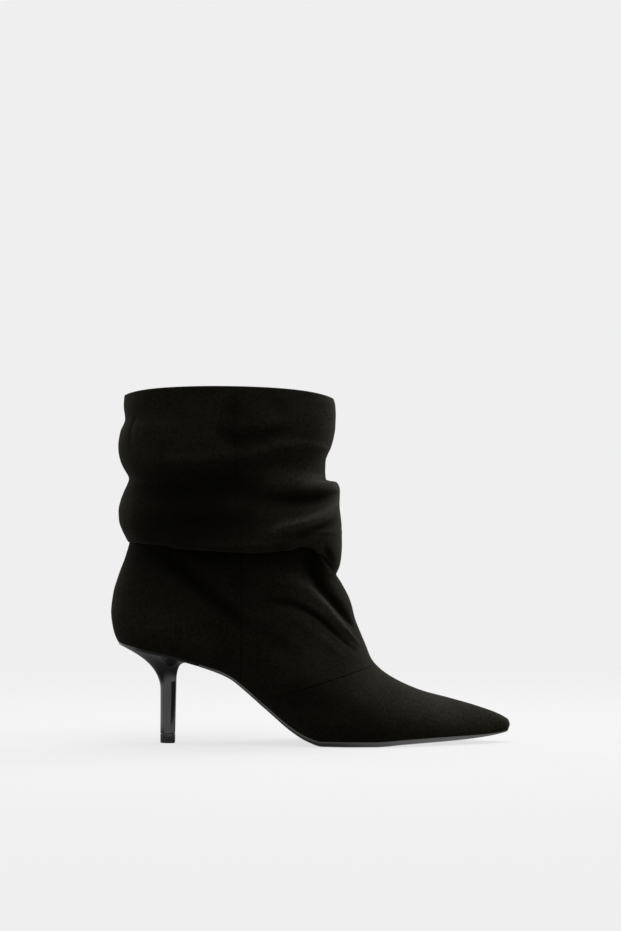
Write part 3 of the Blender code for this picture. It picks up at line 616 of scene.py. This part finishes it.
def suede_material():
    material, shader, add, join = new_material("black_suede_nap", SUEDE_DARK, 0.95)
    where = add("ShaderNodeTexCoord").outputs["Object"]
    axes = add("ShaderNodeSeparateXYZ", {0: where})
    x, z = axes.outputs["X"], axes.outputs["Z"]

    def maths(operation, first, second=0.0):
        return add("ShaderNodeMath", {0: first, 1: second}, operation=operation).outputs[0]

    def smooth(value, low, high, start, end):
        return add("ShaderNodeMapRange", {"Value": value, "From Min": low, "From Max": high,
                                          "To Min": start, "To Max": end},
                   interpolation_type="SMOOTHSTEP").outputs[0]

    def patches(scale, detail, rough):
        return add("ShaderNodeTexNoise", {"Vector": where, "Scale": scale, "Detail": detail,
                                          "Roughness": rough}).outputs["Fac"]

    # seams: where they run, and the groove and the swelling beside each
    lean = smooth(z, *SIDE_SEAM_TURN, SIDE_SEAM_X, SIDE_SEAM_X + SIDE_SEAM_LEAN)
    side_gap = maths("ABSOLUTE", maths("SUBTRACT", x, lean))
    vamp_line = maths("MULTIPLY_ADD", maths("SUBTRACT", x, VAMP_SEAM_X), VAMP_SEAM_SLOPE)
    vamp_line.node.inputs[2].default_value = VAMP_SEAM_Z
    vamp_gap = maths("SUBTRACT", z, vamp_line)
    side_groove = smooth(side_gap, 0.1 * MM, 0.9 * MM, 1, 0)
    vamp_step = smooth(vamp_gap, -0.5 * MM, 0.3 * MM, 0, 1)
    vamp_edge = smooth(maths("ABSOLUTE", vamp_gap), 0.1 * MM, 0.8 * MM, 1, 0)

    # nap: patches brushed one way or the other; then painted shade, darker in the creases and at the tuck,
    # and painted highlight along lines
    brushed = maths("ADD", maths("MULTIPLY", patches(38, 4, 0.55), 0.55),
                    maths("MULTIPLY", patches(560, 3, 0.75), 1.15))
    lit = smooth(brushed, 0.60, 1.10, 0.36, 1.04)
    painted_light_amount = add("ShaderNodeAttribute", attribute_name="depth_and_shade").outputs["Fac"]
    # painted shade and painted highlight from the values kept on the mesh
    lit = maths("MULTIPLY", lit, smooth(painted_light_amount, -4.5, 3.2, 1.74, 0.04))
    side_groove = maths("MULTIPLY", side_groove, smooth(z, *SIDE_SEAM_FADE, 1, 0.2))
    lit = maths("SUBTRACT", lit, maths("MULTIPLY", side_groove, 0.22))
    lit = maths("SUBTRACT", lit, maths("MULTIPLY", vamp_edge, 0.1))
    colour = add("ShaderNodeMix", {0: lit, 6: (*SUEDE_DARK, 1), 7: (*SUEDE_LIGHT, 1)},
                 data_type="RGBA", clamp_factor=False).outputs[2]
    join(colour, shader.inputs["Base Color"])

    # relief: short fibres, a coarser felted grain and the seams
    fibres = add("ShaderNodeBump", {"Height": patches(3600, 4, 0.75), "Strength": 0.55,
                                    "Distance": 0.12 * MM})
    grain = add("ShaderNodeBump", {"Height": patches(900, 3, 0.6), "Strength": 0.6,
                                   "Distance": 0.35 * MM, "Normal": fibres.outputs[0]})
    relief = maths("ADD", maths("MULTIPLY", side_groove, -1.0),
                   maths("ADD", vamp_step, maths("MULTIPLY", vamp_edge, 0.6)))
    seams = add("ShaderNodeBump", {"Height": relief, "Strength": 1.0, "Distance": 0.35 * MM,
                                   "Normal": grain.outputs[0]})
    join(seams.outputs[0], shader.inputs["Normal"])
    shader.inputs["Specular IOR Level"].default_value = 0.03
    shader.inputs["Sheen Weight"].default_value = 0.05
    shader.inputs["Sheen Roughness"].default_value = 0.45
    shader.inputs["Sheen Tint"].default_value = (*SUEDE_SHEEN, 1)
    return material


upper = grid_mesh("upper_suede", skin_all, first_closed, depth_and_shade_all)
upper.data.materials.append(suede_material())
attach(upper, "root")
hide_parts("upper")


# Lining: thin brown leather glued to the flesh side of the suede, from under the collar
# facing down to the sole edge all round.
LINING_BROWN = (0.022, 0.017, 0.013)
LINING_STEP = 2
LINING_OVERLAP = 3            # rows of it under the collar facing
LINING_LIFT = 0.15 * MM
lining_rows = np.arange(0, collar - FACING_ROWS + LINING_OVERLAP, LINING_STEP)
lining_points = (inside - skin_normals * LINING_LIFT)[lining_rows][:, ::LINING_STEP]
lining = grid_mesh("lining", lining_points[:, ::-1], first_closed // LINING_STEP)


def leather_material(name, colour, roughness, pores):
    """Smooth leather with a fine grain."""
    material, shader, add, join = new_material(name, colour, roughness)
    where = add("ShaderNodeTexCoord").outputs["Object"]
    grain = add("ShaderNodeTexVoronoi", {"Vector": where, "Scale": pores})
    relief = add("ShaderNodeBump", {"Height": grain.outputs["Distance"], "Strength": 0.25,
                                    "Distance": 0.1 * MM})
    join(relief.outputs[0], shader.inputs["Normal"])
    return material


lining.data.materials.append(leather_material("lining_leather", LINING_BROWN, 0.6, 1400))
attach(lining, "root")


# Insole: a thin fibre board inside the upper, which is lasted round it and cemented to its
# underside. A sock of thin brown leather is glued on top.
INSOLE_THICKNESS = 0.0015
SOCK_INSET = WALL + 0.5 * MM
SLAB_STATIONS = 150
SLAB_STRIPS = 12


def edge_lines(angles, inset):
    """Plan points of the outer and the inner sole edge, moved in square to the edge."""
    lines = []
    for side in (-1, 1):
        def plan(angle):
            x = place(unturn(np.clip(angle, 0, math.pi)))
            return np.column_stack([x, centre(x) + side * edge_half(x, side)])
        along = unit(plan(angles + 1e-3) - plan(angles - 1e-3))
        inward = side * np.column_stack([along[:, 1], -along[:, 0]])
        lines.append(plan(angles) + inset[:, None] * inward)
    return lines


def slab(first, last, levels):
    """A slab across the sole. levels gives inset and drop from its top edge round to below."""
    angles = np.linspace(turn(first), turn(last), SLAB_STATIONS)
    height = edge_height(place(unturn(angles)))
    outer, inner = [], []
    for inset, drop in levels:
        for points, plan in zip((outer, inner), edge_lines(angles, inset(angles))):
            points.append(np.column_stack([plan, height + drop(angles)]))
    share = np.linspace(0, 1, SLAB_STRIPS + 1)[:, None, None]
    below = outer[-1] + share * (inner[-1] - outer[-1])
    above = inner[0] + share * (outer[0] - inner[0])
    around = np.concatenate([np.array(outer), below[1:-1], np.array(inner)[::-1], above[1:]])
    return around.transpose(1, 0, 2)


def closed_mesh(name, rings):
    """Mesh round a row of closed rings; a ring's last point is its first again."""
    count, across = rings.shape[0], rings.shape[1] - 1
    ids = np.arange(count * across).reshape(count, across)
    ids = np.hstack([ids, ids[:, :1]])
    quads = faces_of(ids).tolist()
    quads += [ids[0, :-1][::-1].tolist(), ids[-1, :-1].tolist()]
    mesh = bpy.data.meshes.new(name)
    mesh.from_pydata(rings[:, :-1].reshape(-1, 3).tolist(), [], quads)
    work = bmesh.new()
    work.from_mesh(mesh)
    bmesh.ops.remove_doubles(work, verts=work.verts, dist=0.002 * MM)
    bmesh.ops.recalc_face_normals(work, faces=work.faces)
    work.to_mesh(mesh)
    work.free()
    mesh.shade_smooth()
    mesh.set_sharp_from_angle(angle=math.radians(42))
    made = bpy.data.objects.new(name, mesh)
    bpy.context.scene.collection.objects.link(made)
    return made


def fixed(value):
    return lambda angles: np.full(len(angles), value)


sock_rings = slab(0, 1, (
    (fixed(SOCK_INSET + 0.3 * MM), fixed(INSOLE_THICKNESS)),
    (fixed(SOCK_INSET), fixed(INSOLE_THICKNESS - 0.3 * MM)),
    (fixed(SOCK_INSET), fixed(0.0))))
sock = closed_mesh("sock", sock_rings)
sock.data.materials.append(leather_material("sock_leather", LINING_BROWN, 0.55, 1100))
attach(sock, "root")
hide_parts("insole")


# Outsole: black, cemented under the upper from the heel breast to the toe. Its edge is
# rounded below and polished; the tread side is plain and a little duller.
BREAST_AT = 0.2100            # heel breast, in SOLE_LENGTH
SOLE_BLACK = (0.0080, 0.0078, 0.0074)
EDGE_PROFILE = ((0.00, 0.00), (0.00, 0.30), (0.03, 0.55), (0.10, 0.74), (0.22, 0.88),
                (0.38, 0.97), (0.60, 1.00))      # inset and depth, in thicknesses


def sole_depth(angles):
    return TOE_EDGE + sole_value("thick", place(unturn(angles))) * (SOLE_THICKNESS - TOE_EDGE)


def sole_level(inset, depth):
    return (lambda angles: inset * sole_depth(angles), lambda angles: -depth * sole_depth(angles))


outsole_rings = slab(BREAST_AT, 1, [sole_level(*pair) for pair in EDGE_PROFILE])
outsole = closed_mesh("sole", outsole_rings)


def sole_material():
    """Polished edge; the underside is rougher, as pressed rubber is."""
    material, shader, add, join = new_material("sole_polished", SOLE_BLACK, 0.2)
    normal = add("ShaderNodeNewGeometry").outputs["Normal"]
    down = add("ShaderNodeSeparateXYZ", {0: normal}).outputs["Z"]
    rough = add("ShaderNodeMapRange", {"Value": down, "From Min": -0.97, "From Max": -0.80,
                                       "To Min": 0.42, "To Max": 0.16}).outputs[0]
    join(rough, shader.inputs["Roughness"])
    where = add("ShaderNodeTexCoord").outputs["Object"]
    pebble = add("ShaderNodeTexNoise", {"Vector": where, "Scale": 700.0, "Detail": 2.0})
    relief = add("ShaderNodeBump", {"Height": pebble.outputs["Fac"], "Strength": 0.12,
                                    "Distance": 0.05 * MM})
    join(relief.outputs[0], shader.inputs["Normal"])
    shader.inputs["Coat Weight"].default_value = 0.9
    shader.inputs["Coat Roughness"].default_value = 0.12
    return material


outsole.data.materials.append(sole_material())
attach(outsole, "root")
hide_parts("outsole")


# Heel: a wooden or plastic block in glossy black film, flared cup under the seat drawn down
# to a slim stem with a flat front, nailed up through the insole.
TIP_LENGTH = 0.0092
TIP_WIDTH = 0.0090
TIP_HEIGHT = 0.0062
STEM_HEIGHT = 0.0330          # where the stem ends and the flare starts, at the back
STEM_FRONT_HEIGHT = 0.0380    # and at the front, below the breast
STEM_SWELL = 0.0008
SEAT_RIM = 0.0012
BREAST_RIM = 0.0018
SEAT_GAP = 0.05 * MM
HEEL_PULL = 0.45
SIDE_PULL = 0.95              # the flare's sides lean in a little from the rim on
BACK_BEND = 0.765 * HEEL_HEIGHT
BREAST_BEND = 0.860 * HEEL_HEIGHT
D_TURN = math.radians(125)
SEAT_STATIONS = 46
BREAST_POINTS = 26
FLARE_STEPS = 34
STEM_STEPS = 8
CORNER_PASSES = 3
TIP_GAP = 0.12 * MM
GLOSS_BLACK = (0.0045, 0.0045, 0.0043)


def soften(ring):
    """Round the corners of a closed ring of points a little."""
    for _ in range(CORNER_PASSES):
        ring = (np.roll(ring, 1, axis=0) + 2 * ring + np.roll(ring, -1, axis=0)) / 4
    return ring


def d_section(length, width, count):
    """Points round the back and sides of a D, its flat side to the front."""
    angle = np.linspace(-D_TURN, D_TURN, count)
    depth = length / (1 - math.cos(D_TURN))
    return np.column_stack([-depth * np.cos(angle) - length / 2 + depth, width / 2 * np.sin(angle)])


def across_front(points):
    """Close a line of points with the flat front."""
    share = np.linspace(0, 1, BREAST_POINTS + 2)[1:-1, None]
    return np.vstack([points, points[-1] + share * (points[0] - points[-1])])


def with_height(plan, height):
    return np.column_stack([plan, np.broadcast_to(height, len(plan))])


def heel_rings():
    outer, inner = edge_lines(np.linspace(0, turn(BREAST_AT), SEAT_STATIONS), np.zeros(SEAT_STATIONS))
    seat = across_front(np.vstack([outer[::-1], inner[1:]]))
    count = 2 * SEAT_STATIONS - 1
    forward = ((seat[:, 0] - place(0)) / (BREAST_AT * SOLE_LENGTH))[:, None]
    top = with_height(seat, edge_height(seat[:, 0]) - SEAT_GAP)
    rim = top - np.array([0, 0, 1]) * (SEAT_RIM + forward * (BREAST_RIM - SEAT_RIM))
    stem = across_front(d_section(TIP_LENGTH + STEM_SWELL, TIP_WIDTH, count)) + [STEM_SWELL / 2, 0]
    end = with_height(stem, (STEM_HEIGHT + forward * (STEM_FRONT_HEIGHT - STEM_HEIGHT))[:, 0])
    bend = with_height(stem, (BACK_BEND + forward * (BREAST_BEND - BACK_BEND))[:, 0])
    pull = rim + HEEL_PULL * (bend - rim)
    pull[:, 1] = SIDE_PULL * rim[:, 1]
    rings = [top]
    for t in np.linspace(0, 1, FLARE_STEPS):
        rings.append((1 - t) ** 3 * rim + 3 * t * (1 - t) ** 2 * pull
                     + 3 * t * t * (1 - t) * bend + t ** 3 * end)
    foot = across_front(d_section(TIP_LENGTH, TIP_WIDTH, count))
    low = with_height(foot, TIP_HEIGHT + TIP_GAP)
    for share in np.linspace(0, 1, STEM_STEPS + 1)[1:]:
        rings.append(end + share * (low - end))
    rings = [soften(ring) for ring in rings]
    return np.array([np.vstack([ring, ring[:1]]) for ring in rings])


heel = closed_mesh("heel_cover", heel_rings())


def gloss_material():
    material, shader, add, join = new_material("heel_gloss", GLOSS_BLACK, 0.10)
    where = add("ShaderNodeTexCoord").outputs["Object"]
    wave = add("ShaderNodeTexNoise", {"Vector": where, "Scale": 90.0, "Detail": 1.0})
    relief = add("ShaderNodeBump", {"Height": wave.outputs["Fac"], "Strength": 0.05,
                                    "Distance": 0.1 * MM})
    join(relief.outputs[0], shader.inputs["Normal"])
    shader.inputs["Coat Weight"].default_value = 0.6
    shader.inputs["Coat Roughness"].default_value = 0.04
    return material


heel.data.materials.append(gloss_material())
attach(heel, "root")
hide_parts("heel")


# Top piece: the wear pad of hard black rubber under the heel, moulded in the D shape of the
# stem with slightly rounded edges, and pinned up into it.
RUBBER_BLACK = (0.0400, 0.0395, 0.0375)
PAD_EDGE = 0.35 * MM
pad_count = 2 * SEAT_STATIONS - 1
pad = []
for inset, height in ((PAD_EDGE, TIP_HEIGHT), (0.0, TIP_HEIGHT - PAD_EDGE), (0.0, 2 * PAD_EDGE),
                      (0.3 * PAD_EDGE, 0.6 * PAD_EDGE), (PAD_EDGE, 0.0)):
    outline = across_front(d_section(TIP_LENGTH - 2 * inset, TIP_WIDTH - 2 * inset, pad_count))
    ring = soften(with_height(outline, height))
    pad.append(np.vstack([ring, ring[:1]]))
top_piece = closed_mesh("top_piece", np.array(pad))
rubber = leather_material("top_piece_rubber", RUBBER_BLACK, 0.25, 2500)
rubber.node_tree.nodes["Principled BSDF"].inputs["Coat Weight"].default_value = 1.0
top_piece.data.materials.append(rubber)
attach(top_piece, "root")
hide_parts("heel_tip")


# Studio: a pale floor that fades into an even pale background, broad soft lights above, tall
# ones to each side and behind, and a darker room behind the camera.
PALE = 0.863
FLOOR_SIZE = 8.0
FLOOR_TAKES = 0.11            # how much of the light that falls on the floor it gives back
FLOOR_NEAR = 0.705            # the floor's own brightness round the boot
FLOOR_BOUNCE = 0.30           # share of that which lights the boot
FLOOR_FADE = (0.15, 0.80)     # distances from the boot between which it turns into the background
# The eye sees an even floor; glossy rays see painted reflections on it: painted bright paper round
# the boot, painted shade under it and a painted dark flag. Shares of the floor's brightness, then places.
ARCH_SHADE = 0.12             # under the arch
BALL_SHADE = 1.40             # under the forefoot
PAINTED_DARK_REFLECTION = 0.12             # painted dark reflection of a flag that is not in the scene, and beyond the paper's front end
ARCH_TO_BALL = (0.10, 0.16)   # X
SIDE_TO_UNDER = (-0.075, -0.020)      # Y, from beside the boot to below it
BACK_TO_HEEL = (-0.15, -0.05)         # X
PAPER_END = (-0.62, -0.54)    # Y
PAINTED_FLAG_START = (-0.16, -0.11)   # Y, where the flag starts
PAINTED_FLAG_SIDE = (0.0, 0.015)      # X, where it starts on the boot's middle line
PAINTED_FLAG_LEAN = 0.12              # and how far that moves with Y
bpy.ops.mesh.primitive_circle_add(vertices=96, radius=FLOOR_SIZE, fill_type="NGON")
floor = bpy.context.object
floor.name = "floor"


def floor_material():
    material = bpy.data.materials.new("floor_pale")
    material.use_nodes = True
    tree = material.node_tree
    tree.nodes.clear()
    out = tree.nodes.new("ShaderNodeOutputMaterial")
    paper = tree.nodes.new("ShaderNodeBsdfDiffuse")
    rays = tree.nodes.new("ShaderNodeLightPath")
    glow = tree.nodes.new("ShaderNodeEmission")
    far = tree.nodes.new("ShaderNodeEmission")
    where = tree.nodes.new("ShaderNodeTexCoord")
    axes = tree.nodes.new("ShaderNodeSeparateXYZ")
    length = tree.nodes.new("ShaderNodeVectorMath")
    length.operation = "LENGTH"
    tree.links.new(where.outputs["Object"], axes.inputs[0])
    tree.links.new(where.outputs["Object"], length.inputs[0])
    x, y = axes.outputs["X"], axes.outputs["Y"]

    def ramp(value, low, high, start, end):
        made = tree.nodes.new("ShaderNodeMapRange")
        made.interpolation_type = "SMOOTHSTEP"
        for name, setting in (("Value", value), ("From Min", low), ("From Max", high),
                              ("To Min", start), ("To Max", end)):
            if isinstance(setting, bpy.types.NodeSocket):
                tree.links.new(setting, made.inputs[name])
            else:
                made.inputs[name].default_value = setting
        return made.outputs[0]

    def maths(operation, *values):
        made = tree.nodes.new("ShaderNodeMath")
        made.operation = operation
        for socket, value in zip(made.inputs, values):
            if isinstance(value, bpy.types.NodeSocket):
                tree.links.new(value, socket)
            else:
                socket.default_value = value
        return made.outputs[0]

    # Painted reflections, seen only by glossy rays: painted shade under the arch, a painted brighter
    # reflection under the forefoot, a painted dark flag and dark floor beyond the paper's end.
    under = ramp(x, *ARCH_TO_BALL, ARCH_SHADE, BALL_SHADE)
    in_front = ramp(y, *SIDE_TO_UNDER, 1.0, under)
    behind_heel = ramp(x, *BACK_TO_HEEL, 1.0, 0.0)
    painted_floor = maths("MULTIPLY", maths("MAXIMUM", in_front, behind_heel),
                      ramp(y, *PAPER_END, PAINTED_DARK_REFLECTION, 1.0))
    beside = maths("MULTIPLY_ADD", y, PAINTED_FLAG_LEAN, x)
    painted_flag = maths("MULTIPLY", ramp(beside, *PAINTED_FLAG_SIDE, 0.0, 1.0), ramp(y, *PAINTED_FLAG_START, 1.0, 0.0))
    painted_reflection = ramp(painted_flag, 0.0, 1.0, painted_floor, PAINTED_DARK_REFLECTION)
    mirrored = ramp(rays.outputs["Is Glossy Ray"], 0.0, 1.0, 1.0, painted_reflection)
    tree.links.new(maths("MULTIPLY", mirrored, FLOOR_TAKES), paper.inputs["Color"])
    for light, full in ((glow, FLOOR_NEAR), (far, PALE)):
        soft = ramp(rays.outputs["Is Diffuse Ray"], 0.0, 1.0, full, full * FLOOR_BOUNCE)
        tree.links.new(maths("MULTIPLY", soft, mirrored), light.inputs["Strength"])
    both = tree.nodes.new("ShaderNodeAddShader")
    mix = tree.nodes.new("ShaderNodeMixShader")
    tree.links.new(paper.outputs[0], both.inputs[0])
    tree.links.new(glow.outputs[0], both.inputs[1])
    tree.links.new(ramp(length.outputs["Value"], *FLOOR_FADE, 0.0, 1.0), mix.inputs[0])
    tree.links.new(both.outputs[0], mix.inputs[1])
    tree.links.new(far.outputs[0], mix.inputs[2])
    tree.links.new(mix.outputs[0], out.inputs["Surface"])
    return material


floor.data.materials.append(floor_material())

ROOM_TURN = (-0.35, 0.55)     # Y of a direction, from behind the camera to behind the boot
ROOM_LIGHT = (0.03, 0.90)     # brightness at each
world = bpy.data.worlds.new("studio")
bpy.context.scene.world = world
world.use_nodes = True
sky = world.node_tree
sky.nodes.clear()
sky_out = sky.nodes.new("ShaderNodeOutputWorld")
sky_where = sky.nodes.new("ShaderNodeTexCoord")
sky_axes = sky.nodes.new("ShaderNodeSeparateXYZ")
sky_shape = sky.nodes.new("ShaderNodeMapRange")
sky_shape.interpolation_type = "SMOOTHSTEP"
sky_shape.inputs["From Min"].default_value = ROOM_TURN[0]
sky_shape.inputs["From Max"].default_value = ROOM_TURN[1]
sky_shape.inputs["To Min"].default_value = ROOM_LIGHT[0]
sky_shape.inputs["To Max"].default_value = ROOM_LIGHT[1]
room = sky.nodes.new("ShaderNodeBackground")
backdrop = sky.nodes.new("ShaderNodeBackground")
backdrop.inputs["Color"].default_value = (PALE, PALE, PALE, 1)
rays = sky.nodes.new("ShaderNodeLightPath")
sky_mix = sky.nodes.new("ShaderNodeMixShader")
sky.links.new(sky_where.outputs["Generated"], sky_axes.inputs[0])
sky.links.new(sky_axes.outputs["Y"], sky_shape.inputs["Value"])
sky.links.new(sky_shape.outputs[0], room.inputs["Strength"])
sky.links.new(rays.outputs["Is Camera Ray"], sky_mix.inputs[0])
sky.links.new(room.outputs[0], sky_mix.inputs[1])
sky.links.new(backdrop.outputs[0], sky_mix.inputs[2])
sky.links.new(sky_mix.outputs[0], sky_out.inputs["Surface"])


BOOT_MIDDLE = Vector((0.07, 0.0, 0.10))


def soft_light(name, at, size, power):
    """A rectangular soft light at a point, aimed at the middle of the boot. Power in watts."""
    light = bpy.data.lights.new(name, "AREA")
    light.shape = "RECTANGLE"
    light.size, light.size_y = size
    light.energy = power
    lamp = bpy.data.objects.new(name, light)
    lamp.location = at
    aim = BOOT_MIDDLE - lamp.location
    lamp.rotation_mode = "QUATERNION"
    lamp.rotation_quaternion = aim.to_track_quat("-Z", "Y")
    bpy.context.scene.collection.objects.link(lamp)


soft_light("light_above", (0.25, -0.35, 1.70), (1.3, 0.8), 22)
soft_light("light_above_behind", (0.20, 0.45, 1.70), (1.3, 0.8), 14)
soft_light("light_toe_side", (1.45, -0.30, 0.75), (0.5, 1.2), 7)
soft_light("light_toe_behind", (1.20, 0.90, 0.80), (0.5, 1.2), 17)
soft_light("light_heel_side", (-1.45, -0.20, 0.75), (0.5, 1.2), 5)
soft_light("light_heel_behind", (-1.20, 0.90, 0.80), (0.5, 1.2), 7)

CAMERA_AT = (0.0895, -2.0, 0.1737)    # level with the shaft, square to the outer side
CAMERA_LENS = 123.4
camera = bpy.data.objects.new("camera", bpy.data.cameras.new("camera"))
camera.location = CAMERA_AT
camera.rotation_euler = (math.radians(90), 0, 0)
camera.data.sensor_width = 36
camera.data.lens = CAMERA_LENS
bpy.context.scene.collection.objects.link(camera)
bpy.context.scene.camera = camera
bpy.context.scene.view_settings.view_transform = "Standard"
